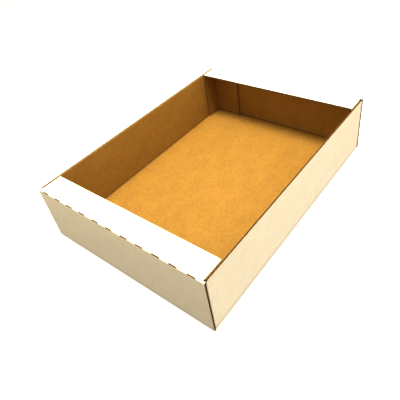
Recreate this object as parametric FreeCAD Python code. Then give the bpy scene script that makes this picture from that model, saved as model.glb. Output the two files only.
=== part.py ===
import FreeCAD, Part
import math
import os

from FreeCAD import Vector

# Open pastry tray, die-cut from one sheet of white-lined corrugated board, folded and glued.
#
# Millimetres. X runs across the tray, Y along it and Z up. The origin is on the underside, at the
# middle of the base. The whole tray is one sheet, so it is one solid: a base, two long side walls
# with raw tops, a corner flap on each end of each side wall, two end walls folded up over those
# flaps, and a ledge on top of each end wall with a tab at each of its ends, folded down inside the
# side walls. Board that lies on board keeps a glue line between, so that every seam stays open.

# Overall sizes, over the outside of the board
tray_length = 460.0
tray_width = 334.0
tray_height = 103.5

# Board and its folds
board = 3.0             # thickness of the corrugated sheet
glue_line = 0.3         # left between two layers that are glued to each other
fold_radius = 2.0       # outside of a fold; its inside is crushed to a line
die_radius = 4.0        # free corners of flaps and tabs

# Side walls
side_wall_drop = 1.0    # raw tops of the side walls, below the tops of the ledges
wall_corner_radius = 5.0    # top corners, rounded down to the corner flaps
crush_height = 0.8      # inner face leans over the raw top from this far below it,
crush_lean = 0.7        # and by this much, where the die crushed the board

# Corner flaps, hinged on the side walls and glued behind the end walls
flap_reach = 65.0       # from the outside of the side wall to the flap's free edge

# Ledges and their tabs
ledge_depth = 39.5      # from the outside of the end wall to the ledge's raw edge
tab_clearance = 1.3     # between a tab and the side wall that it hangs beside
floor_gap = 1.0         # flaps and tabs stop this far above the base

# Slits of the perforated crease between an end wall and its ledge
slit_pitch = 29.4
slit_length = 13.5
slit_depth = 2.0
slit_mouth = 2.2        # height of the slit's opening, over the fold
slit_margin = 7.0       # least distance from the last slit to the end of the crease
slit_aim = 40.0         # degrees above level at which a slit enters the fold

# Levels and faces that the pieces of the blank share
half_length = tray_length / 2
half_width = tray_width / 2
side_wall_top = tray_height - side_wall_drop
side_wall_end = half_length - board - glue_line         # outside of the corner flaps
flap_inside = side_wall_end - board
ledge_end = half_width - board - tab_clearance          # outside of the tabs
tab_back = flap_inside - glue_line                      # tab's edge beside the corner flap
ledge_edge = half_length - ledge_depth
loose_edge = board + floor_gap                          # lower edge of flaps and tabs
flap_top = side_wall_top - wall_corner_radius


def to_plane(u, v, plane):
    """Point (u, v) of a section that lies in the XZ or the YZ plane."""
    return Vector(u, 0, v) if plane == "XZ" else Vector(0, u, v)


def folded_strip(outline, plane):
    """Section of a strip of board folded square along its outline, as a face.

    The outline is the outside of the strip, in order, with the board on its left. Its corners are
    rounded to the fold radius, and the inside meets at a crushed line.
    """
    directions = []
    for start, end in zip(outline, outline[1:]):
        run = math.dist(start, end)
        directions.append(((end[0] - start[0]) / run, (end[1] - start[1]) / run))

    outer_edges = []
    inner_points = []
    here = outline[0]
    for number, (du, dv) in enumerate(directions):
        start, end = outline[number], outline[number + 1]
        if number == 0:
            inner_points.append((start[0] - dv * board, start[1] + du * board))
        if number == len(directions) - 1:
            outer_edges.append(Part.LineSegment(to_plane(*here, plane), to_plane(*end, plane)))
            inner_points.append((end[0] - dv * board, end[1] + du * board))
            break
        next_du, next_dv = directions[number + 1]
        arc_start = (end[0] - du * fold_radius, end[1] - dv * fold_radius)
        arc_end = (end[0] + next_du * fold_radius, end[1] + next_dv * fold_radius)
        cut_corner = fold_radius * (1 - math.sqrt(0.5))
        arc_middle = (end[0] + (next_du - du) * cut_corner, end[1] + (next_dv - dv) * cut_corner)
        outer_edges.append(Part.LineSegment(to_plane(*here, plane), to_plane(*arc_start, plane)))
        outer_edges.append(Part.Arc(*[to_plane(*p, plane) for p in (arc_start, arc_middle, arc_end)]))
        inner_points.append((end[0] + (next_du - du) * board, end[1] + (next_dv - dv) * board))
        here = arc_end

    back = [outline[-1]] + inner_points[::-1] + [outline[0]]
    inner_edges = [
        Part.LineSegment(to_plane(*a, plane), to_plane(*b, plane)) for a, b in zip(back, back[1:])
    ]
    wire = Part.Wire([edge.toShape() for edge in outer_edges + inner_edges])
    return Part.Face(wire)


def rounded(solid, radius, is_corner):
    """Solid with the straight edges that is_corner(middle point, direction) picks rounded off."""
    corners = []
    for edge in solid.Edges:
        if len(edge.Vertexes) == 2:
            run = edge.Vertexes[1].Point - edge.Vertexes[0].Point
            middle = edge.Vertexes[0].Point + run * 0.5
            if is_corner(middle, run.normalize()):
                corners.append(edge)
    return solid.makeFillet(radius, corners)


def along_x(direction):
    return abs(direction.x) > 0.99


def along_y(direction):
    return abs(direction.y) > 0.99


def crushed_rims():
    """Wedges off the inside of both raw tops, where the die crushed the board."""
    inside = half_width - board
    section = Part.makePolygon(
        [
            Vector(inside - crush_lean, 0, side_wall_top - 2 * crush_height),
            Vector(inside + 2 * crush_lean, 0, side_wall_top + crush_height),
            Vector(inside - crush_lean, 0, side_wall_top + crush_height),
            Vector(inside - crush_lean, 0, side_wall_top - 2 * crush_height),
        ]
    )
    section.translate(Vector(0, -half_length, 0))
    rim = Part.Face(section).extrude(Vector(0, tray_length, 0))
    return [rim, rim.mirror(Vector(0, 0, 0), Vector(1, 0, 0))]


def base_and_side_walls():
    """Base with both long walls folded up, one strip across the tray."""
    section = folded_strip(
        [
            (-half_width, side_wall_top),
            (-half_width, 0),
            (half_width, 0),
            (half_width, side_wall_top),
        ],
        "XZ",
    )
    section.translate(Vector(0, -side_wall_end, 0))
    strip = section.extrude(Vector(0, 2 * side_wall_end, 0))

    def top_corner(middle, direction):
        at_end = abs(abs(middle.y) - side_wall_end) < 0.01
        return along_x(direction) and at_end and abs(middle.z - side_wall_top) < 0.01

    return rounded(strip, wall_corner_radius, top_corner).cut(crushed_rims())


def corner_flap(side, end):
    """Flap on one end of one side wall, standing square to it behind the end wall."""
    flap = Part.makeBox(
        flap_reach,
        board,
        flap_top - loose_edge,
        Vector(half_width - flap_reach, flap_inside, loose_edge),
    )

    def free_corner(middle, direction):
        return along_y(direction) and abs(middle.x - (half_width - flap_reach)) < 0.01

    flap = rounded(flap, die_radius, free_corner)
    if side < 0:
        flap = flap.mirror(Vector(0, 0, 0), Vector(1, 0, 0))
    if end < 0:
        flap = flap.mirror(Vector(0, 0, 0), Vector(0, 1, 0))
    return flap


def upright_creases(walls):
    """Walls with the four upright folds between side walls and corner flaps rounded outside."""
    block = Part.makeBox(
        tray_width,
        2 * side_wall_end,
        tray_height,
        Vector(-half_width, -side_wall_end, 0),
    )
    block = rounded(block, fold_radius, lambda middle, direction: abs(direction.z) > 0.99)
    return walls.common(block)


def end_wall():
    """End wall at +Y from the base to the start of its ledge, folded at foot and top."""
    section = folded_strip(
        [
            (flap_inside - board, 0),
            (half_length, 0),
            (half_length, tray_height),
            (tab_back, tray_height),
        ],
        "YZ",
    )
    section.translate(Vector(-half_width, 0, 0))
    strip = section.extrude(Vector(tray_width, 0, 0))

    # Inside the end wall the sheet is narrower, to lie between the side walls.
    slots = Part.makeBox(
        tray_width,
        half_length - board,
        tray_height,
        Vector(ledge_end, 0, 0),
    )
    other_side = slots.mirror(Vector(0, 0, 0), Vector(1, 0, 0))
    return strip.cut([slots, other_side])


def ledge_and_tabs():
    """Ledge at +Y with its two tabs folded down, one strip across the tray."""
    section = folded_strip(
        [
            (ledge_end, loose_edge),
            (ledge_end, tray_height),
            (-ledge_end, tray_height),
            (-ledge_end, loose_edge),
        ],
        "XZ",
    )
    section.translate(Vector(0, ledge_edge, 0))
    strip = section.extrude(Vector(0, tab_back - ledge_edge, 0))

    def foot_of_tab(middle, direction):
        at_front = abs(middle.y - ledge_edge) < 0.01
        return along_x(direction) and at_front and abs(middle.z - loose_edge) < 0.01

    return rounded(strip, die_radius, foot_of_tab)


def crease_slits():
    """Row of V-shaped cuts for the crease at +Y, which the fold has pulled open."""
    aim = math.radians(slit_aim)
    outwards = Vector(0, math.cos(aim), math.sin(aim))
    across = Vector(0, -math.sin(aim), math.cos(aim))
    fold_centre = Vector(0, half_length - fold_radius, tray_height - fold_radius)
    tip = fold_centre + outwards * (fold_radius - slit_depth)
    cut_height = slit_depth + 1.0       # past the fold, to open the mouth
    half_mouth = slit_mouth / 2 * cut_height / slit_depth
    rim = tip + outwards * cut_height
    section = Part.makePolygon([tip, rim + across * half_mouth, rim - across * half_mouth, tip])
    wedge = Part.Face(section).extrude(Vector(slit_length, 0, 0))

    row = tray_width - 2 * slit_margin - slit_length
    count = int(row / slit_pitch) + 1
    first = -(count - 1) / 2 * slit_pitch - slit_length / 2
    return [wedge.translated(Vector(first + number * slit_pitch, 0, 0)) for number in range(count)]


walls = base_and_side_walls()
flaps = [corner_flap(side, end) for side in (-1, 1) for end in (-1, 1)]
walls = upright_creases(walls.fuse(flaps))

far_end = end_wall().fuse(ledge_and_tabs()).removeSplitter().cut(crease_slits())
near_end = far_end.mirror(Vector(0, 0, 0), Vector(0, 1, 0))

folded_tray = walls.fuse([far_end, near_end]).removeSplitter()
if folded_tray.ShapeType != "Solid":
    folded_tray = folded_tray.Solids[0]

os.makedirs("parts", exist_ok=True)
folded_tray.exportStep("parts/folded_tray.step")

box = folded_tray.optimalBoundingBox(True, False)
print("folded_tray: %.1f x %.1f x %.1f mm" % (box.XLength, box.YLength, box.ZLength))
print("volume %.1f cm3, faces %d" % (folded_tray.Volume / 1000, len(folded_tray.Faces)))
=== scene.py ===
# %% [markdown]
# # An open pastry tray in corrugated board
#
# A pastry tray is die-cut from one sheet of corrugated board, folded and glued. Corrugated board is
# three papers glued together: a liner with a bleached white top on the outside, a brown kraft liner
# on the inside, and a fluted paper between them. A packed construction model already says how large
# the tray is and how it folds. This script loads that model and dresses it: it models the three
# papers one after the other, and gives each its own finish.

# %% Load the construction model
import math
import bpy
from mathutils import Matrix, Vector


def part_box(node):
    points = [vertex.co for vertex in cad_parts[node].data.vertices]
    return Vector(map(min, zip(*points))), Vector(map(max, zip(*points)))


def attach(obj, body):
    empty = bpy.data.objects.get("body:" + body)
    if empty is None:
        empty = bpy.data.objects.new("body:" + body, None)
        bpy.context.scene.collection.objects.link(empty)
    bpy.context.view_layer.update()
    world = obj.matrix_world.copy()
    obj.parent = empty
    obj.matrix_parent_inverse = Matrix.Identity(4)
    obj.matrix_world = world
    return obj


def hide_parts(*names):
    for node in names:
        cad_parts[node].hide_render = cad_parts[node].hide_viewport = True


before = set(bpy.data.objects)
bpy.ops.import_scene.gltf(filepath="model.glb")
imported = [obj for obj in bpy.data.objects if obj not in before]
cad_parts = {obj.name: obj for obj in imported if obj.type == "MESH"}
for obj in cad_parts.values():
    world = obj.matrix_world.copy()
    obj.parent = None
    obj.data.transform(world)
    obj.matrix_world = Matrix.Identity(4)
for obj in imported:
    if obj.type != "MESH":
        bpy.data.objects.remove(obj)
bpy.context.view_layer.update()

# %% [markdown]
# Blender is driven through a few modules of its own: bpy runs its operators, bmesh reads and selects
# inside a mesh that is open for editing, and mathutils has its vectors. They are imported once the
# construction model is there, and the first thing printed is what that model holds.

# %% Blender's own modules
from types import SimpleNamespace

import bmesh
import bpy
from mathutils import Matrix, Vector

# %% [markdown]
# ## Sizes
#
# Blender works in metres, and board is measured in millimetres, so one value turns one into the
# other. The overall sizes are read from the construction model. The rest are the sizes of the board
# and of its die-cut blank.

# %% Sizes of the tray and its board
mm = 0.001
tray_low, tray_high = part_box("folded_tray")
half_width = tray_high.x
half_length = tray_high.y
tray_top = tray_high.z

board = 3.0 * mm
glue_line = 0.3 * mm
tab_clearance = 1.3 * mm
liner_paper = 0.4 * mm
fold_radius = 2.0 * mm
die_radius = 4.0 * mm
wall_corner_radius = 5.0 * mm
side_wall_drop = 1.0 * mm
floor_gap = 1.0 * mm
flap_reach = 65.0 * mm
ledge_depth = 39.5 * mm
print("tray, mm:", [round(side / mm, 1) for side in tray_high - tray_low])

# %% [markdown]
# One panel ends where the next begins, so the panels share a few faces and levels. They are worked out
# once, from the sizes above.

# %% Faces and levels that the panels share
side_wall_top = tray_top - side_wall_drop
side_wall_end = half_length - board - glue_line
end_wall_inside = half_length - board
ledge_end = half_width - board - tab_clearance
tab_back = side_wall_end - board - glue_line
ledge_edge = half_length - ledge_depth
flap_edge = half_width - flap_reach
flap_top = side_wall_top - wall_corner_radius
loose_edge = board + floor_gap
print("ledge from y = %.1f to %.1f mm" % (ledge_edge / mm, half_length / mm))

# %% [markdown]
# ## Camera
#
# The camera comes first, so that every piece can be looked at as it is made. It stands in front of
# the tray, to its right and well above it, and leans a little to one side. A short distance and a
# lens close to a normal one give the strong perspective of a small object seen from near by.

# %% Camera
camera_place = Vector((386.7, -424.1, 495.9)) * mm
camera_azimuth = math.radians(43.74)
camera_elevation = math.radians(39.56)
camera_lean = math.radians(-9.69)

bpy.ops.object.camera_add(location=camera_place)
camera = bpy.context.object
camera.data.lens = 37.38
camera.data.shift_x = -0.02
camera.data.shift_y = -0.05
towards_camera = Vector((
    math.sin(camera_azimuth) * math.cos(camera_elevation),
    -math.cos(camera_azimuth) * math.cos(camera_elevation),
    math.sin(camera_elevation),
))
level = (-towards_camera).to_track_quat("-Z", "Y").to_matrix()
camera.rotation_euler = (level @ Matrix.Rotation(camera_lean, 3, "Z")).to_euler()
bpy.context.scene.camera = camera
print("camera at", [round(c, 3) for c in camera.location])

# %% [markdown]
# ## Tools for picking
#
# Edges and faces are picked by where they lie. A place that has been through an operator is rounded in
# its last digit, so two lengths count as equal when they are within a hundredth of a millimetre.

# %% Comparing lengths
tolerance = 0.01 * mm


def same(a, b):
    """Whether two lengths are equal but for the tolerance."""
    return abs(a - b) < tolerance


def between(value, low, high):
    """Whether a length lies between two others, or on one of them."""
    return low - tolerance < value < high + tolerance


# %% [markdown]
# An operator acts on everything that is selected, so each step clears the selection first. Outside of
# edit mode that means one whole piece, and inside it the corners, edges or faces that are wanted. Most
# panels then start in the same way: the picked edges are extruded into a new strip.

# %% Picking edges and faces by place
def choose(piece):
    """Selects one piece and nothing else, so that operators act on it alone."""
    bpy.ops.object.select_all(action="DESELECT")
    piece.select_set(True)
    bpy.context.view_layer.objects.active = piece


def edit(piece):
    """Opens a piece for editing, with nothing else selected."""
    choose(piece)
    bpy.ops.object.mode_set(mode="EDIT")


def pick(piece, kind, wanted):
    """Selects the vertices, edges or faces whose corners all lie where wanted(point) is true."""
    bpy.ops.mesh.select_mode(type={"verts": "VERT", "edges": "EDGE", "faces": "FACE"}[kind])
    bpy.ops.mesh.select_all(action="DESELECT")
    mesh = bmesh.from_edit_mesh(piece.data)
    found = 0
    for part in getattr(mesh, kind):
        corners = [part] if kind == "verts" else part.verts
        if all(wanted(corner.co) for corner in corners):
            part.select_set(True)
            found += 1
    bmesh.update_edit_mesh(piece.data)
    return found


def extend(x=0.0, y=0.0, z=0.0):
    """Extrudes the picked edges into a new strip of the sheet."""
    bpy.ops.mesh.extrude_region_move(TRANSFORM_OT_translate={"value": (x, y, z)})


# %% [markdown]
# ## The folded sheet
#
# The tray has two planes of symmetry, so one quarter is modelled and mirrored. A liner is a folded
# sheet, and the quickest way to a folded sheet is the way it is folded by hand: start from the base,
# and extrude an edge for each panel that stands on it.
#
# The same steps make both liners. The outer one lies on the outside of every panel, and the inner
# one lies one board's thickness further in, so its folds move by that inset while its raw edges stay.
# Each fold is a test for the points that lie on it. The steps that pull a panel out of a fold and the
# step that rounds it later pick it by the same test.

# %% Where a liner folds
def liner_faces(inset):
    """Faces and folds of a liner that lies at this depth in the board."""
    liner = SimpleNamespace(
        inset=inset,
        wall=half_width - inset,
        crease=side_wall_end - inset,
        end=half_length - inset,
        floor=inset,
        ledge=tray_top - inset,
        tab=ledge_end - inset,
    )
    liner.folds = {
        "side wall": lambda p: same(p.x, liner.wall) and same(p.z, liner.floor),
        "corner flap": lambda p: same(p.x, liner.wall)
        and same(p.y, liner.crease)
        and between(p.z, loose_edge, flap_top),
        "end wall": lambda p: same(p.y, liner.end) and same(p.z, liner.floor),
        "ledge": lambda p: same(p.y, liner.end) and same(p.z, liner.ledge),
        "tab": lambda p: same(p.x, liner.tab)
        and same(p.z, liner.ledge)
        and between(p.y, ledge_edge, tab_back),
    }
    return liner


# %% [markdown]
# The base is a plane, and the side wall is its outer edge pulled up. The wall's top corner is rounded
# by a bevel on one vertex. A die rounds it too, so that no point is left to catch or tear.

# %% Base and side wall
wall_corner_steps = 5


def base_and_side_wall(liner, name):
    """Starts the quarter with its base, and raises the side wall with its rounded top corner."""
    bpy.ops.mesh.primitive_plane_add(
        size=1, location=(liner.wall / 2, side_wall_end / 2, liner.floor)
    )
    sheet = bpy.context.object
    sheet.name = name
    sheet.scale = (liner.wall, side_wall_end, 1)
    bpy.ops.object.transform_apply(location=True, rotation=True, scale=True)
    edit(sheet)
    pick(sheet, "edges", lambda p: same(p.x, liner.wall))
    extend(z=side_wall_top - liner.floor)
    pick(sheet, "verts", lambda p: same(p.y, side_wall_end) and same(p.z, side_wall_top))
    bpy.ops.mesh.bevel(affect="VERTICES", offset=wall_corner_radius, segments=wall_corner_steps)
    return sheet


# %% [markdown]
# A corner flap hangs on the end of a side wall and is glued behind the end wall, where it ties the two
# walls together. It is shorter than the wall is high, so the wall's face is first cut at the flap's two
# levels. The inner liner folds a board's thickness sooner, so its wall is cut back there as well. The
# edge between the cuts is then pulled across the tray, and its free corners are rounded.

# %% Corner flap
die_corner_steps = 4


def corner_flap(sheet, liner):
    """Folds the flap in from the end of the side wall."""
    for height in (loose_edge, flap_top):
        pick(sheet, "faces", lambda p: same(p.x, liner.wall))
        bpy.ops.mesh.bisect(plane_co=(0, 0, height), plane_no=(0, 0, 1))
    if liner.inset:
        pick(sheet, "faces", lambda p: same(p.x, liner.wall))
        bpy.ops.mesh.bisect(plane_co=(0, liner.crease, 0), plane_no=(0, 1, 0))
        pick(
            sheet,
            "faces",
            lambda p: between(p.y, liner.crease, side_wall_end)
            and between(p.z, loose_edge, flap_top),
        )
        bpy.ops.mesh.delete(type="FACE")
    pick(sheet, "edges", liner.folds["corner flap"])
    extend(x=flap_edge - liner.wall)
    pick(sheet, "verts", lambda p: same(p.x, flap_edge) and same(p.y, liner.crease))
    bpy.ops.mesh.bevel(affect="VERTICES", offset=die_radius, segments=die_corner_steps)


# %% [markdown]
# The end wall folds up from the base and over the corner flaps, so its raw edges show on the sides of
# the tray. It is as wide as the tray, and the base between the side walls is narrower. Each sheet
# therefore steps out to the full width: the outer one under the wall, the inner one on the wall.

# %% End wall
def end_wall(sheet, liner):
    """Carries the base on to the end of the tray and raises the end wall, as wide as the tray."""
    pick(sheet, "faces", lambda p: same(p.z, liner.floor))
    bpy.ops.mesh.bisect(plane_co=(ledge_end, 0, 0), plane_no=(1, 0, 0))
    pick(
        sheet,
        "edges",
        lambda p: same(p.y, side_wall_end)
        and same(p.z, liner.floor)
        and between(p.x, 0, ledge_end),
    )
    extend(y=end_wall_inside - side_wall_end)
    overhang = board - liner.inset
    if overhang:
        pick(sheet, "edges", lambda p: same(p.y, end_wall_inside))
        extend(y=overhang)
        pick(
            sheet,
            "edges",
            lambda p: same(p.x, ledge_end) and between(p.y, end_wall_inside, half_length),
        )
        extend(x=half_width - ledge_end)
    pick(sheet, "edges", liner.folds["end wall"])
    extend(z=liner.ledge - liner.floor)
    if not overhang:
        pick(sheet, "edges", lambda p: same(p.y, liner.end) and same(p.x, ledge_end))
        extend(x=half_width - ledge_end)


# %% [markdown]
# The ledge is a shelf that stiffens the end of the tray and carries the tray stacked on it. It turns in
# from the top of the end wall, and the tab at its end turns down inside the side wall and holds it.
# Each is one more edge pulled out of the sheet.

# %% Ledge and tab
def ledge_and_tab(sheet, liner):
    """Turns the ledge in from the top of the end wall, and its tab down beside the side wall."""
    overhang = board - liner.inset
    if overhang:
        pick(sheet, "edges", liner.folds["ledge"])
        extend(y=-overhang)
    pick(
        sheet,
        "edges",
        lambda p: same(p.y, end_wall_inside)
        and same(p.z, liner.ledge)
        and between(p.x, 0, ledge_end),
    )
    extend(y=tab_back - end_wall_inside)
    if liner.inset:
        pick(sheet, "faces", lambda p: same(p.z, liner.ledge))
        bpy.ops.mesh.bisect(plane_co=(liner.tab, 0, 0), plane_no=(1, 0, 0))
    pick(
        sheet,
        "edges",
        lambda p: same(p.y, tab_back) and same(p.z, liner.ledge) and between(p.x, 0, liner.tab),
    )
    extend(y=ledge_edge - tab_back)
    pick(sheet, "edges", liner.folds["tab"])
    extend(z=loose_edge - liner.ledge)
    pick(sheet, "verts", lambda p: same(p.y, ledge_edge) and same(p.z, loose_edge))
    bpy.ops.mesh.bevel(affect="VERTICES", offset=die_radius, segments=die_corner_steps)


# %% [markdown]
# Board never folds to a sharp line. Its outer liner goes round in a small curve, and its inner liner is
# crushed into a groove. A bevel along the fold gives both, with a radius of its own for each liner.

# %% Rounded folds
def round_folds(sheet, liner, radius, steps):
    """Rounds each fold of the quarter, one at a time."""
    for panel, on_fold in liner.folds.items():
        count = pick(sheet, "edges", on_fold)
        bpy.ops.mesh.bevel(affect="EDGES", offset=radius, segments=steps)
        print("fold of the %s rounded, edges: %d" % (panel, count))


# %% [markdown]
# A die's knife presses the board before it parts it, so the raw top of a side wall stays pinched: the
# inner liner leans over towards the outer one. The faces are cut a little below the top, and what lies
# above the cut is moved over, the highest points furthest.

# %% Crushed raw top
crush_height = 0.8 * mm
crush_lean = 0.7 * mm
crush_start = side_wall_top - crush_height


def crush_raw_top(sheet, liner):
    """Leans the raw top of the side wall over towards the outer liner, as the die leaves it."""
    pick(sheet, "faces", lambda p: same(p.x, liner.wall) and p.z > flap_top - fold_radius)
    bpy.ops.mesh.bisect(plane_co=(0, 0, crush_start), plane_no=(0, 0, 1))
    mesh = bmesh.from_edit_mesh(sheet.data)
    on_wall = [vert.co.z for vert in mesh.verts if same(vert.co.x, liner.wall)]
    levels = sorted({round(height / mm, 3) * mm for height in on_wall})
    for level in levels:
        if level > crush_start + tolerance:
            pick(sheet, "verts", lambda p: same(p.x, liner.wall) and same(p.z, level))
            lean = crush_lean * (level - crush_start) / crush_height
            bpy.ops.transform.translate(value=(lean, 0, 0))


# %% [markdown]
# Two modifiers make a sheet of paper out of the quarter. Mirror completes it across both planes.
# Solidify gives it thickness, and tells apart its face, its back and its cut edges. It can only point
# at material slots that are there already, so three empty ones come first.

# %% Quarter to whole
FACE, BACK, CUT = 0, 1, 2


def modify(piece, kind, **settings):
    """Gives a piece a modifier with these settings, and applies it."""
    choose(piece)
    bpy.ops.object.modifier_add(type=kind)
    modifier = piece.modifiers[-1]
    for name, value in settings.items():
        setattr(modifier, name, value)
    bpy.ops.object.modifier_apply(modifier=modifier.name)


def mirrored(piece):
    """Completes a quarter across both planes of symmetry."""
    modify(piece, "MIRROR", use_axis=(True, True, False), merge_threshold=tolerance)


def empty_slots(piece):
    """Gives a piece a material slot each for its face, its back and its cut edges."""
    for slot in (FACE, BACK, CUT):
        piece.data.materials.append(None)


def thickened(piece, paper, offset):
    """Gives a sheet its thickness: offset -1 grows it behind its face, and 0 to both sides."""
    empty_slots(piece)
    modify(
        piece,
        "SOLIDIFY",
        thickness=paper,
        offset=offset,
        use_even_offset=True,
        material_offset=BACK,
        material_offset_rim=CUT,
    )


# %% [markdown]
# A liner is then made by calling those steps in the order in which the tray is folded. Its normals are
# made consistent and turned away from the board, so that the paper's thickness grows into the board:
# the outer liner's base looks down, and the inner liner's base looks up.

# %% Whole liner
def turn_faces(piece, inside=False):
    """Turns all the faces of a piece outwards, or all of them inwards."""
    edit(piece)
    bpy.ops.mesh.select_all(action="SELECT")
    bpy.ops.mesh.normals_make_consistent(inside=inside)
    bpy.ops.object.mode_set(mode="OBJECT")


def whole_liner(name, inset, radius, steps):
    """Folded liner: its face looks away from the board, and its thickness lies within it."""
    liner = liner_faces(inset)
    sheet = base_and_side_wall(liner, name)
    corner_flap(sheet, liner)
    end_wall(sheet, liner)
    ledge_and_tab(sheet, liner)
    round_folds(sheet, liner, radius, steps)
    if inset:
        crush_raw_top(sheet, liner)
    bpy.ops.object.mode_set(mode="OBJECT")
    mirrored(sheet)

    turn_faces(sheet)
    base = min(sheet.data.polygons, key=lambda face: (face.center.xy.length, face.center.z))
    looks_down = base.normal.z < 0
    if looks_down != (inset == 0):
        turn_faces(sheet, inside=True)
    thickened(sheet, liner_paper, -1)
    print(name, "has", len(sheet.data.polygons), "faces")
    return sheet


# %% [markdown]
# ## The two liners
#
# The liners are what is seen and touched of the board: white outside, brown inside. They are one folded
# sheet at two depths, so one function makes both, and only the roundness of their folds differs.

# %% Outer liner
outer_liner = whole_liner("outer_liner", 0, fold_radius, steps=6)

# %% [markdown]
# The inner liner is crushed where the board folds, so its folds are grooves of hardly any radius.

# %% Inner liner
groove_radius = 0.25 * mm
inner_liner = whole_liner("inner_liner", board, groove_radius, steps=2)

# %% [markdown]
# ## The perforated crease
#
# Board is stiff, and a narrow ledge gives little to hold while it is folded. So its crease is cut
# through in dashes, and folds easily and straight. The fold has pulled the cuts open, and each is seen
# as a short dark gap on the tray's upper edge, which a painted dash would not be. An opened cut is a
# wedge, with its tip in the board and its mouth over the fold.

# %% Sizes of the slits
slit_pitch = 29.4 * mm
slit_length = 13.5 * mm
slit_depth = 2.0 * mm
slit_mouth = 2.2 * mm
slit_margin = 7.0 * mm
slit_aim = math.radians(40.0)
slit_count = int((2 * half_width - 2 * slit_margin - slit_length) / slit_pitch) + 1
print("slits in a crease:", slit_count)

# %% [markdown]
# Here one wedge is modelled and set at the first slit. It is a box with its lower end closed to a
# line, and turned to look out over the fold. It stands up past the fold, so that the mouth is cut
# clean.

# %% Wedge of one slit
past_fold = 1.0 * mm
wedge_height = slit_depth + past_fold
wedge_breadth = slit_mouth * wedge_height / slit_depth
tip_y = half_length - fold_radius + (fold_radius - slit_depth) * math.cos(slit_aim)
tip_z = tray_top - fold_radius + (fold_radius - slit_depth) * math.sin(slit_aim)

bpy.ops.object.select_all(action="DESELECT")
bpy.ops.mesh.primitive_cube_add(size=1, location=(0, 0, wedge_height / 2))
cutter = bpy.context.object
cutter.name = "slit_cutter"
cutter.scale = (slit_length, wedge_breadth, wedge_height)
bpy.ops.object.transform_apply(location=True, rotation=True, scale=True)
edit(cutter)
pick(cutter, "verts", lambda p: same(p.z, 0))
bpy.ops.transform.resize(value=(1, 0, 1), center_override=(0, 0, 0))
bpy.ops.mesh.remove_doubles(threshold=tolerance)
bpy.ops.object.mode_set(mode="OBJECT")
cutter.rotation_euler = (slit_aim - math.pi / 2, 0, 0)
cutter.location = (-(slit_count - 1) / 2 * slit_pitch, tip_y, tip_z)
bpy.ops.object.transform_apply(location=True, rotation=True, scale=True)
print("wedge has", len(cutter.data.polygons), "faces")

# %% [markdown]
# An array repeats the wedge along the crease, and a mirror sets the other crease. A boolean gives the
# faces that it cuts the material slot of the cutter's own faces, so those are all set to the slot of
# the cut edges.

# %% Rows of wedges
def repeated(piece, count, step, **settings):
    """Repeats a piece in a row, each copy one step further."""
    modify(
        piece,
        "ARRAY",
        count=count,
        use_relative_offset=False,
        use_constant_offset=True,
        constant_offset_displace=step,
        **settings,
    )


repeated(cutter, slit_count, (slit_pitch, 0, 0))
modify(cutter, "MIRROR", use_axis=(False, True, False))
turn_faces(cutter)
empty_slots(cutter)
for face in cutter.data.polygons:
    face.material_index = CUT
print("rows have", len(cutter.data.polygons), "faces")

# %% [markdown]
# The boolean then cuts all the wedges out of the outer liner at once. What is seen through a slit is
# the hollow of the fold, which is why it looks dark.

# %% Cut slits
modify(
    outer_liner,
    "BOOLEAN",
    operation="DIFFERENCE",
    solver="EXACT",
    object=cutter,
    material_mode="INDEX",
)
choose(cutter)
bpy.ops.object.delete()
print("slits:", 2 * slit_count, "outer liner faces:", len(outer_liner.data.polygons))

# %% [markdown]
# ## The fluted medium
#
# Between the liners lies a paper pressed into waves, called flutes. They hold the liners apart and make
# the board stiff and light, and they show wherever it is cut. A pattern painted on a solid edge would
# look flat from near by, so the waves are modelled.
#
# A wave is pulled out of a straight edge, so a small function makes such an edge first. It is what is
# left of a plane when two of its corners are deleted.

# %% Straight edge
def straight_edge(start, end):
    """Mesh of a single edge between two points, left from one side of a plane."""
    bpy.ops.object.select_all(action="DESELECT")
    bpy.ops.mesh.primitive_plane_add(size=1)
    piece = bpy.context.object
    edit(piece)
    pick(piece, "verts", lambda p: p.y > 0)
    bpy.ops.mesh.delete(type="VERT")
    bpy.ops.mesh.select_all(action="SELECT")
    bpy.ops.transform.translate(value=(0.5, 0.5, 0))
    bpy.ops.object.mode_set(mode="OBJECT")
    run = end - start
    piece.location = start
    piece.rotation_euler = run.to_track_quat("X", "Z").to_euler()
    piece.scale = (run.length, run.length, run.length)
    bpy.ops.object.transform_apply(location=True, rotation=True, scale=True)
    return piece


# %% [markdown]
# One wave is pulled out of the edge in short steps, and an array repeats it over a panel. The folds
# crush the flutes, so every panel has a web of its own that stops short of its folds. A web is given
# its outer face, the way in which its waves repeat, and the way into the board.

# %% One web of flutes
wave_steps = 8
medium_paper = 0.25 * mm
flutes_in_half_wall = 35
flute_pitch = side_wall_end / flutes_in_half_wall
print("flute pitch, mm:", round(flute_pitch / mm, 2))


def web(start, end, across, inwards, breadth, outer_first=True):
    """Wave of medium over one panel, from the outer face's line start-end, repeated across."""
    count = round(breadth / flute_pitch)
    pitch = breadth / count
    middle = board / 2
    swing = board / 2 - liner_paper - medium_paper / 2
    first = -1 if outer_first else 1

    def depth(step):
        return middle + first * swing * math.cos(2 * math.pi * step / wave_steps)

    inset = inwards * depth(0)
    piece = straight_edge(start + inset, end + inset)
    edit(piece)
    bpy.ops.mesh.select_all(action="SELECT")
    for step in range(wave_steps):
        move = across * (pitch / wave_steps) + inwards * (depth(step + 1) - depth(step))
        extend(*move)
    bpy.ops.object.mode_set(mode="OBJECT")
    if count > 1:
        repeated(piece, count, across * pitch, use_merge_vertices=True, merge_threshold=tolerance)
    return piece


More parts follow.
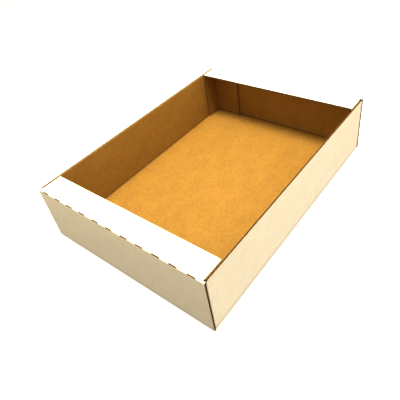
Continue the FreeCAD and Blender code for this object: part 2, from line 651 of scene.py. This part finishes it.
# %% [markdown]
# Flutes carry a load along their length, so they stand upright in the side walls, the corner flaps and
# the tabs. They are straight on the flat blank and can't turn a corner, so in the base, the end walls
# and the ledges they run across the tray. The first two webs fill the base and the side wall, all but
# the last flute of the wall.

# %% Webs of the base and the side wall
x_way, y_way, z_way = Vector((1, 0, 0)), Vector((0, 1, 0)), Vector((0, 0, 1))
last_flute = side_wall_end - flute_pitch
base_web = web(
    Vector((0, 0, 0)), Vector((half_width - board, 0, 0)), y_way, z_way, side_wall_end
)
side_wall_web = web(
    Vector((half_width, 0, board)),
    Vector((half_width, 0, crush_start)),
    y_way,
    -x_way,
    last_flute,
)
print("webs of base and side wall:", len(base_web.data.polygons), len(side_wall_web.data.polygons))

# %% [markdown]
# In the end wall the waves repeat upwards, and in the ledge along the tray. The end wall's web stops a
# little short of both its folds, where the board is pressed flat.

# %% Webs of the end wall and the ledge
pressed_flat = 0.9 * mm
end_wall_web = web(
    Vector((0, half_length, pressed_flat)),
    Vector((half_width, half_length, pressed_flat)),
    z_way,
    -y_way,
    tray_top - 2 * pressed_flat,
    outer_first=False,
)
ledge_web = web(
    Vector((0, ledge_edge, tray_top)),
    Vector((ledge_end - board, ledge_edge, tray_top)),
    y_way,
    -z_way,
    end_wall_inside - ledge_edge,
)
print("webs of end wall and ledge:", len(end_wall_web.data.polygons), len(ledge_web.data.polygons))

# %% [markdown]
# The last flute of the side wall lies beside the crease, and only the ear above the corner flap still
# has room for it. The ear's corner is round, so its web is trimmed by a few flat cuts, which is enough
# for paper that is seen edge on.

# %% Web of the side wall's ear
trim_angles = [math.radians(angle) for angle in (15, 45, 75)]


def trim_corner(piece, centre, radius, corner):
    """Cuts a web back to a rounded corner; corner points out of it along two axes."""
    first, second = [axis for axis in range(3) if corner[axis]]
    edit(piece)
    for angle in trim_angles:
        outwards = Vector((0, 0, 0))
        outwards[first] = corner[first] * math.cos(angle)
        outwards[second] = corner[second] * math.sin(angle)
        bpy.ops.mesh.select_all(action="SELECT")
        bpy.ops.mesh.bisect(
            plane_co=centre + outwards * radius, plane_no=outwards, clear_outer=True
        )
    bpy.ops.object.mode_set(mode="OBJECT")


ear_web = web(
    Vector((half_width, last_flute, flap_top)),
    Vector((half_width, last_flute, crush_start)),
    y_way,
    -x_way,
    flute_pitch,
)
ear_centre = Vector((half_width, side_wall_end - wall_corner_radius, flap_top))
trim_corner(ear_web, ear_centre, wall_corner_radius, Vector((0, 1, 1)))
print("web of ear:", len(ear_web.data.polygons))

# %% [markdown]
# The corner flap's waves repeat from its free edge to its crease, and both its free corners are
# trimmed.

# %% Web of the corner flap
flap_web = web(
    Vector((flap_edge, side_wall_end, loose_edge)),
    Vector((flap_edge, side_wall_end, flap_top)),
    x_way,
    -y_way,
    half_width - board - flap_edge,
)
for height, way in ((flap_top - die_radius, 1), (loose_edge + die_radius, -1)):
    centre = Vector((flap_edge + die_radius, 0, height))
    trim_corner(flap_web, centre, die_radius, Vector((-1, 0, way)))
print("web of corner flap:", len(flap_web.data.polygons))

# %% [markdown]
# The tab has one free corner, at its foot on the side of the ledge's raw edge.

# %% Web of the tab
tab_web = web(
    Vector((ledge_end, ledge_edge, loose_edge)),
    Vector((ledge_end, ledge_edge, tray_top - board)),
    y_way,
    -x_way,
    tab_back - ledge_edge,
)
tab_centre = Vector((0, ledge_edge + die_radius, loose_edge + die_radius))
trim_corner(tab_web, tab_centre, die_radius, Vector((0, -1, -1)))
print("web of tab:", len(tab_web.data.polygons))

# %% [markdown]
# The webs are joined, mirrored and given the medium's thickness. It grows to both sides of the wave,
# because the wave was drawn at the middle of the paper.

# %% Whole medium
choose(base_web)
for piece in (side_wall_web, end_wall_web, ledge_web, ear_web, flap_web, tab_web):
    piece.select_set(True)
bpy.ops.object.join()
fluting = bpy.context.object
fluting.name = "fluting"
mirrored(fluting)
thickened(fluting, medium_paper, 0)
print("fluting has", len(fluting.data.polygons), "faces")

# %% [markdown]
# A rounded fold is a row of narrow flat faces. Smooth shading hides them where they meet at a small
# angle, and leaves the cut edges of the paper sharp.

# %% Smooth folds
smooth_limit = math.radians(35)


def smooth(piece):
    """Shades a piece smooth, apart from where its faces meet at more than the limit."""
    choose(piece)
    bpy.ops.object.shade_smooth_by_angle(angle=smooth_limit)


papers = (outer_liner, inner_liner, fluting)
for piece in papers:
    smooth(piece)
print("smooth:", [piece.name for piece in papers])

# %% [markdown]
# ## Unfolding
#
# Paper has a direction: its fibres lie along the machine, and the flutes lie across it. Both run
# straight over the flat blank and turn with it at every fold. So each sheet gets a UV map that is the
# blank itself, in metres: U lies along the flutes and V across them.
#
# The first step is to tell which panel a face belongs to. The way it faces says most of it, and its
# place says which of two panels that lie back to back it is.

# %% Panels of the blank
def panel_of(face):
    """Name of the panel that a face belongs to."""
    flat = max(range(3), key=lambda axis: abs(face.normal[axis]))
    c = face.center
    if flat == 2:
        return "base" if c.z < tray_top / 2 else "ledge"
    if flat == 0:
        return "side wall" if abs(c.x) > ledge_end + glue_line / 2 else "tab"
    return "end wall" if abs(c.y) > side_wall_end + glue_line / 2 else "flap"


def on_blank(panel, x, y, z):
    """Place on the flat blank of a point of a panel, in the quarter with x and y above zero."""
    ledge_v = 2 * half_length + tray_top - y
    return {
        "base": (x, y),
        "side wall": (half_width + z, y),
        "flap": (half_width + z, side_wall_end + half_width - x),
        "end wall": (x, half_length + z),
        "ledge": (x, ledge_v),
        "tab": (ledge_end + tray_top - z, ledge_v),
    }[panel]


# %% [markdown]
# Board also remembers its folds and its cuts. A second map holds how far each point of a panel lies
# from the two folds that bound the panel, and an attribute holds how far it lies from the panel's raw
# edge. A panel that has only one fold, or no raw edge, is given a distance that no mark can reach.

# %% Distances from folds and raw edges
FAR = 1.0


def from_folds(panel, liner, x, y, z):
    """Distances of a point from the folds that bound its panel."""
    return {
        "base": (liner.wall - x, liner.end - y),
        "side wall": (z - liner.floor, liner.crease - y),
        "flap": (liner.wall - x, FAR),
        "end wall": (z - liner.floor, liner.ledge - z),
        "ledge": (liner.tab - x, liner.end - y),
        "tab": (liner.ledge - z, FAR),
    }[panel]


def from_raw_edge(panel, x, y, z):
    """Distance of a point from the raw edge of its panel."""
    return {
        "base": FAR,
        "side wall": side_wall_top - z,
        "flap": x - flap_edge,
        "end wall": FAR,
        "ledge": y - ledge_edge,
        "tab": min(y - ledge_edge, z - loose_edge),
    }[panel]


# %% [markdown]
# All of these change evenly over a flat face, so its corners are enough to carry them. Each corner is
# first moved to the quarter with x and y above zero, where the distances are measured, and its place
# on the blank is then given back its own side and end.

# %% Maps of the flat blank
def unfold(piece, inset):
    """Lays every panel flat, as it was cut, and measures it from its folds and raw edge."""
    mesh = piece.data
    liner = liner_faces(inset)
    blank = mesh.uv_layers.new(name="blank")
    folds = mesh.uv_layers.new(name="folds")
    raw_edge = mesh.attributes.new(name="from_raw_edge", type="FLOAT", domain="CORNER")
    for face in mesh.polygons:
        panel = panel_of(face)
        side = 1 if face.center.x > 0 else -1
        end = 1 if face.center.y > 0 else -1
        for corner in face.loop_indices:
            x, y, z = mesh.vertices[mesh.loops[corner].vertex_index].co
            place = (side * x, end * y, z)
            u, v = on_blank(panel, *place)
            blank.data[corner].uv = (side * u, end * v)
            folds.data[corner].uv = from_folds(panel, liner, *place)
            raw_edge.data[corner].value = from_raw_edge(panel, *place)


for piece, inset in zip(papers, (0, board, board / 2)):
    unfold(piece, inset)
    print(piece.name, "has its blank and its folds as maps")

# %% [markdown]
# ## Finishes
#
# A finish is a tree of small nodes that ends in the Principled shader. Two functions are enough to
# build it: one sets the inputs of a node that is there, and one adds a node and hands on its output.
# Colours are written as sRGB and turned linear by a third.

# %% Colours and nodes
def linear(colour):
    """Linear RGBA of an sRGB colour written as six hex digits."""
    channels = [int(colour[i : i + 2], 16) / 255 for i in (0, 2, 4)]
    return [c / 12.92 if c <= 0.04045 else ((c + 0.055) / 1.055) ** 2.4 for c in channels] + [1.0]


def feed(tree, target, inputs):
    """Sets the inputs of a node; each is a value, or the socket that feeds it."""
    for key, value in inputs.items():
        if isinstance(value, bpy.types.NodeSocket):
            tree.links.new(value, target.inputs[key])
        else:
            target.inputs[key].default_value = value


def node(tree, kind, inputs, output=0, **settings):
    """Adds a node with its inputs and settings, and gives one of its outputs."""
    made = tree.nodes.new("ShaderNode" + kind)
    for name, value in settings.items():
        setattr(made, name, value)
    feed(tree, made, inputs)
    return made.outputs[output]


def new_material(name):
    """Material with only its Principled shader, and that shader."""
    material = bpy.data.materials.new(name)
    material.use_nodes = True
    return material, material.node_tree, material.node_tree.nodes["Principled BSDF"]


# %% [markdown]
# Every paper starts from a flat colour and is then broken up as paper is: clouds where the pulp lies
# thicker, a mottle of a millimetre or two, and strands finer than that. Real fibres are a few
# hundredths of a millimetre thick, too fine to show at all, so the strands are drawn about ten times
# as thick. Nearly all of a noise lies between 0.3 and 0.7, so that is the range a finish makes use of.

# %% Grain of paper
THIN, THICK = 0.3, 0.7


def grain(tree, where, size, detail=2.0, rough=0.5):
    """Noise from 0 to 1 whose blobs are about size (x, y, z) in metres."""
    scaled = node(tree, "Mapping", {"Vector": where, "Scale": [1 / side for side in size]})
    return node(
        tree,
        "TexNoise",
        {"Vector": scaled, "Scale": 1.0, "Detail": detail, "Roughness": rough},
    )


def carried(value, start, stop, low, high):
    """Inputs of a Map Range node that carries a value from start-stop over to low-high."""
    return {"Value": value, "From Min": start, "From Max": stop, "To Min": low, "To Max": high}


def toned(tree, colour, layers):
    """Colour made lighter and darker by layers of grain, each by its own amount about one."""
    for noise, amount in layers:
        factor = node(tree, "MapRange", carried(noise, THIN, THICK, 1 - amount, 1 + amount))
        colour = node(tree, "VectorMath", {0: colour, "Scale": factor}, operation="SCALE")
    return colour


# %% [markdown]
# A liner is not quite flat. Its fibres stand out, and it sinks a little between the flutes, which
# gives a faint washboard. Both are shallow, so a bump is enough for them.

# %% Relief of a liner
def liner_relief(tree, fibres, blank, washboard, depth):
    """Normal of a liner with its fibres, and with waves that are one to a flute."""
    v = node(tree, "SeparateXYZ", {"Vector": blank}, output="Y")
    turns = node(tree, "Math", {0: v, 1: 2 * math.pi / flute_pitch}, operation="MULTIPLY")
    waves = node(tree, "Math", {0: turns}, operation="COSINE")
    height = node(tree, "Math", {0: waves, 1: washboard, 2: fibres}, operation="MULTIPLY_ADD")
    return node(tree, "Bump", {"Height": height, "Distance": depth, "Strength": 1.0})


# %% [markdown]
# Board is marked by how it is made and used, and some shade is painted on it as marks too. A fold
# stretches the white paper along it and crushes the brown into a groove, whose shade is painted dark. A
# cut leaves a scuffed edge, and at the foot of a tray a contact shade is painted as a greyer white.
# Each mark is strongest at no distance from where it starts and fades out at its reach, and the mottle
# breaks it up. So the first functions measure the distance, and the others make a mark of it and lay
# its colour over the paper.

# %% Where marks start
def distance_from_fold(tree):
    """Distance from the nearer of the folds that bound a panel."""
    folds = node(tree, "UVMap", {}, uv_map="folds")
    first = node(tree, "SeparateXYZ", {"Vector": folds}, output="X")
    second = node(tree, "SeparateXYZ", {"Vector": folds}, output="Y")
    return node(tree, "Math", {0: first, 1: second}, operation="MINIMUM")


def distance_from_raw_edge(tree):
    """Distance from the raw edge of a panel."""
    return node(tree, "Attribute", {}, output="Fac", attribute_name="from_raw_edge")


def height_above_floor(tree):
    """Height above what the tray stands on."""
    place = node(tree, "TexCoord", {}, output="Object")
    return node(tree, "SeparateXYZ", {"Vector": place}, output="Z")


# %% [markdown]
# A Mix node keeps sockets for numbers, vectors and colours side by side. The ones for colours are
# picked by their place in the row, because all of them have the same names.

# %% Marks and their colours
COLOUR_A, COLOUR_B, MIXED_COLOUR = 6, 7, 2


def mark(tree, distance, reach, mottle, weak, strong):
    """Mark that fades out at its reach; weak and strong each pair a mottle with a strength."""
    fade = node(
        tree, "MapRange", carried(distance, 0, reach, 1, 0), interpolation_type="SMOOTHSTEP"
    )
    breaks = node(tree, "MapRange", carried(mottle, weak[0], strong[0], weak[1], strong[1]))
    return node(tree, "Math", {0: fade, 1: breaks}, operation="MULTIPLY")


def laid_over(tree, colour, marks):
    """Colour with the colours of its marks laid over it, each as far as its mark says."""
    for amount, over in marks:
        inputs = {"Factor": amount, COLOUR_A: colour, COLOUR_B: linear(over)}
        colour = node(tree, "Mix", inputs, output=MIXED_COLOUR, data_type="RGBA")
    return colour


# %% [markdown]
# The white top is a thin bleached layer over brown pulp, pressed smooth. It shows a faint cloudiness
# and, along its folds and cut edges, a rubbed line where the brown comes through. A contact shade is
# painted at the foot of the tray as a greyer white, which fades out a few millimetres up.

# %% White-top liner
# The last of these colours is the grey of the painted contact shade at the foot of the tray.
WHITE, RUBBED_WHITE, FOOT_SHADE_WHITE = "DDD1BA", "C8B18B", "BAAE97"


def white_top_liner():
    """Smooth bleached paper, close to matt, with a faint sheen."""
    material, tree, shader = new_material("white_top_liner")
    blank = node(tree, "UVMap", {}, uv_map="blank")
    clouds = grain(tree, blank, (16 * mm, 24 * mm, 1), detail=3.0)
    mottle = grain(tree, blank, (1.7 * mm, 2.1 * mm, 1))
    fibres = grain(tree, blank, (0.25 * mm, 1.4 * mm, 1), detail=3.0)
    paper = toned(tree, linear(WHITE)[:3], [(clouds, 0.03), (mottle, 0.085)])

    fold = mark(tree, distance_from_fold(tree), 0.9 * mm, mottle, (0.4, 0.044), (0.6, 0.22))
    edge = mark(tree, distance_from_raw_edge(tree), 0.7 * mm, mottle, (0.4, 0.08), (0.6, 0.4))
    # Painted contact shade: the white turns greyer towards the foot and fades out 12 mm up.
    foot_shade = mark(tree, height_above_floor(tree), 12 * mm, mottle, (0.4, 0.18), (0.6, 0.9))
    marks = [(fold, RUBBED_WHITE), (edge, RUBBED_WHITE), (foot_shade, FOOT_SHADE_WHITE)]
    feed(tree, shader, {
        "Base Color": laid_over(tree, paper, marks),
        "Roughness": node(tree, "MapRange", carried(clouds, THIN, THICK, 0.58, 0.68)),
        "Specular IOR Level": 0.35,
        "Normal": liner_relief(tree, fibres, blank, washboard=0.6, depth=0.02 * mm),
    })
    return material


white = white_top_liner()
print("finish:", white.name)

# %% [markdown]
# Kraft is unbleached: long brown fibres in a loose, mottled sheet with no gloss. Where the board folds
# inwards, the liner is crushed into a tight groove, and the shade in that groove is painted as a darker
# brown beside the fold. At a raw top the die leaves a scuffed, lighter lip.

# %% Kraft liner
# The last of these browns is the painted shade of the grooves inside the folds.
KRAFT, SCUFFED_KRAFT, CREASE_SHADE = "987332", "B58B4D", "523514"


def kraft_liner():
    """Brown unbleached paper, mottled and quite matt."""
    material, tree, shader = new_material("kraft_liner")
    blank = node(tree, "UVMap", {}, uv_map="blank")
    clouds = grain(tree, blank, (26 * mm, 40 * mm, 1), detail=3.0)
    blotches = grain(tree, blank, (6 * mm, 8 * mm, 1))
    mottle = grain(tree, blank, (1.8 * mm, 2.4 * mm, 1))
    strands = grain(tree, blank, (0.35 * mm, 3.0 * mm, 1), detail=3.0, rough=0.6)
    layers = [(clouds, 0.06), (blotches, 0.07), (mottle, 0.115), (strands, 0.10)]
    paper = toned(tree, linear(KRAFT)[:3], layers)

    # Painted shade: a darker brown within 2.6 mm of each inner fold, where the crushed groove lies in
    # shade.
    crease_shade = mark(tree, distance_from_fold(tree), 2.6 * mm, mottle, (THIN, 0.5), (THICK, 0.75))
    lip = mark(tree, distance_from_raw_edge(tree), 1.4 * mm, mottle, (0.35, 0.1), (0.65, 0.6))
    feed(tree, shader, {
        "Base Color": laid_over(tree, paper, [(crease_shade, CREASE_SHADE), (lip, SCUFFED_KRAFT)]),
        "Roughness": node(tree, "MapRange", carried(mottle, THIN, THICK, 0.74, 0.86)),
        "Specular IOR Level": 0.25,
        "Normal": liner_relief(tree, strands, blank, washboard=0.5, depth=0.04 * mm),
    })
    return material


kraft = kraft_liner()
print("finish:", kraft.name)

# %% [markdown]
# The cut edges and the fluted medium are the same recycled brown pulp, rough and quite without gloss.
# The cut edge of the outer liner is paler, because its white top is part of its thickness.

# %% Raw paper
RAW, CUT_WHITE, CUT_KRAFT = "7A613F", "9E845D", "795B32"


def raw_paper(name, colour):
    """Torn and cut pulp, with strands that run every way."""
    material, tree, shader = new_material(name)
    place = node(tree, "TexCoord", {}, output="Object")
    strands = grain(tree, place, (0.4 * mm, 0.4 * mm, 0.4 * mm))
    feed(tree, shader, {
        "Base Color": toned(tree, linear(colour)[:3], [(strands, 0.15)]),
        "Roughness": node(tree, "MapRange", carried(strands, THIN, THICK, 0.85, 0.95)),
        "Specular IOR Level": 0.15,
        "Normal": node(tree, "Bump", {"Height": strands, "Distance": 0.1 * mm, "Strength": 1.0}),
    })
    return material


raw = raw_paper("raw_brown_paper", RAW)
cut_white = raw_paper("cut_white_liner", CUT_WHITE)
cut_kraft = raw_paper("cut_kraft_liner", CUT_KRAFT)
print("finishes:", [material.name for material in (raw, cut_white, cut_kraft)])

# %% [markdown]
# Last come the slots. Each paper has a finish for its face, its back and its cut edge. The back of a
# liner faces the flutes and is only seen through the slits and the raw edges.

# %% Finishes of the three papers
finishes = {
    outer_liner: (white, raw, cut_white),
    inner_liner: (kraft, raw, cut_kraft),
    fluting: (raw, raw, raw),
}
for piece, finish in finishes.items():
    for slot, material in zip((FACE, BACK, CUT), finish):
        piece.data.materials[slot] = material
    used = [sum(face.material_index == slot for face in piece.data.polygons) for slot in range(3)]
    print(piece.name, "faces by finish:", used)

# %% [markdown]
# ## Floor, lamps and room
#
# The tray is shown on a pale sheet of acrylic that is lit from below, so that the ground comes out
# white with hardly a shadow. The floor is a disc whose rim curves up into a low wall, extruded step by
# step, which leaves no corner to see behind the tray from any side. It lies half a millimetre below the
# tray, because two faces in the same plane would flicker through each other.

# %% Floor and backdrop
rim_sides = 96
bend_steps = 8
below_tray = 0.5 * mm


def floor_and_backdrop(radius, bend, wall):
    """Round floor that bends up into a low wall all round, like the cove of a studio."""
    bpy.ops.mesh.primitive_circle_add(
        vertices=rim_sides, radius=radius, fill_type="NGON", location=(0, 0, -below_tray)
    )
    cove = bpy.context.object
    cove.name = "floor_and_backdrop"
    edit(cove)
    pick(cove, "edges", lambda p: p.xy.length > radius / 2)
    turns = [math.pi / 2 * step / bend_steps for step in range(bend_steps + 1)]
    for before, after in zip(turns, turns[1:]):
        rise = bend * (math.cos(before) - math.cos(after))
        grown = radius + bend * (math.sin(after) - math.sin(before))
        bpy.ops.mesh.extrude_edges_move(TRANSFORM_OT_translate={"value": (0, 0, rise)})
        bpy.ops.transform.resize(
            value=(grown / radius, grown / radius, 1), center_override=(0, 0, 0)
        )
        radius = grown
    bpy.ops.mesh.extrude_edges_move(TRANSFORM_OT_translate={"value": (0, 0, wall)})
    bpy.ops.object.mode_set(mode="OBJECT")
    smooth(cove)
    return cove


cove = floor_and_backdrop(radius=3.0, bend=1.0, wall=1.6)
print("floor and backdrop, m across:", round(cove.dimensions.x, 2))

# %% [markdown]
# The sheet's own glow is what makes it white. It is kept off the board: light thrown up from so wide
# a sheet would wash out the walls, which get their shape from the lamps.

# %% Pale acrylic
ACRYLIC, ACRYLIC_GLOW = "A0A0A0", "FFFAF3"
pale, pale_tree, pale_shader = new_material("pale_acrylic_lit_from_below")
feed(pale_tree, pale_shader, {
    "Base Color": linear(ACRYLIC),
    "Roughness": 0.8,
    "Emission Color": linear(ACRYLIC_GLOW),
    "Emission Strength": 0.63,
})
cove.data.materials.append(pale)
cove.visible_diffuse = False
cove.visible_glossy = False
print("finish:", pale.name)

# %% [markdown]
# White walls and a pale ceiling send back an even, slightly warm light. It fills the inside of the
# tray, and the corners stay darker because less of the room can be seen from there.

# %% Room light
WARM, NEUTRAL, YELLOWED = (1.0, 0.97, 0.89), (1.0, 0.99, 0.93), (1.0, 0.87, 0.62)
world = bpy.data.worlds.new("studio")
bpy.context.scene.world = world
world.use_nodes = True
room = world.node_tree.nodes["Background"]
feed(world.node_tree, room, {"Color": (*WARM, 1), "Strength": 0.68})
print("room light:", world.name)

# %% [markdown]
# Four softboxes make the rest. The one overhead is the strongest: it burns out the ledges and lights
# the tray's floor, while the walls stay a tone darker. Its size sets how soft the ledge's shadow is.
# Two stand on the right, one high and one low, so the long wall is the brightest upright face, and
# the wall's soft shade lies along the right of the tray's floor. A weak one in front, to the left,
# gives the end wall its slow fall from left to right. Its cloth has yellowed, so its light is warmer.

# %% Lamps
def softbox(name, place, size, power, hue=WARM):
    """Square lamp that hangs at a place and faces the tray."""
    bpy.ops.object.light_add(type="AREA", location=place)
    lamp = bpy.context.object
    lamp.name = name
    lamp.data.size = size
    lamp.data.energy = power
    lamp.data.color = hue
    lamp.rotation_euler = (-Vector(place)).to_track_quat("-Z", "Y").to_euler()
    print("softbox %s: %.1f W" % (name, power))


softbox("overhead", (-0.09, -0.12, 1.69), size=0.65, power=56.5, hue=NEUTRAL)
softbox("front", (-0.90, -0.90, 0.60), size=0.7, power=5.6, hue=YELLOWED)
softbox("right", (1.15, 0.15, 1.35), size=0.9, power=14.9)
softbox("low_right", (1.84, 0.32, 0.33), size=0.9, power=15.1, hue=NEUTRAL)

# %% [markdown]
# The Standard view keeps the ledges pure white where they are burnt out. A gamma a little under one
# deepens the shades and the browns of the tray's inside, as a camera's own curve does.

# %% View
bpy.context.scene.view_settings.view_transform = "Standard"
bpy.context.scene.view_settings.gamma = 1 / 1.3
print("view:", bpy.context.scene.view_settings.view_transform)

# %% [markdown]
# ## Hand over
# The tray is one rigid piece, so its three papers ride on the same body and stand in for the same
# solid of the construction model. The sizes before and after are kept side by side.

# %% Hand over
for piece in papers:
    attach(piece, "root")
    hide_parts("folded_tray")
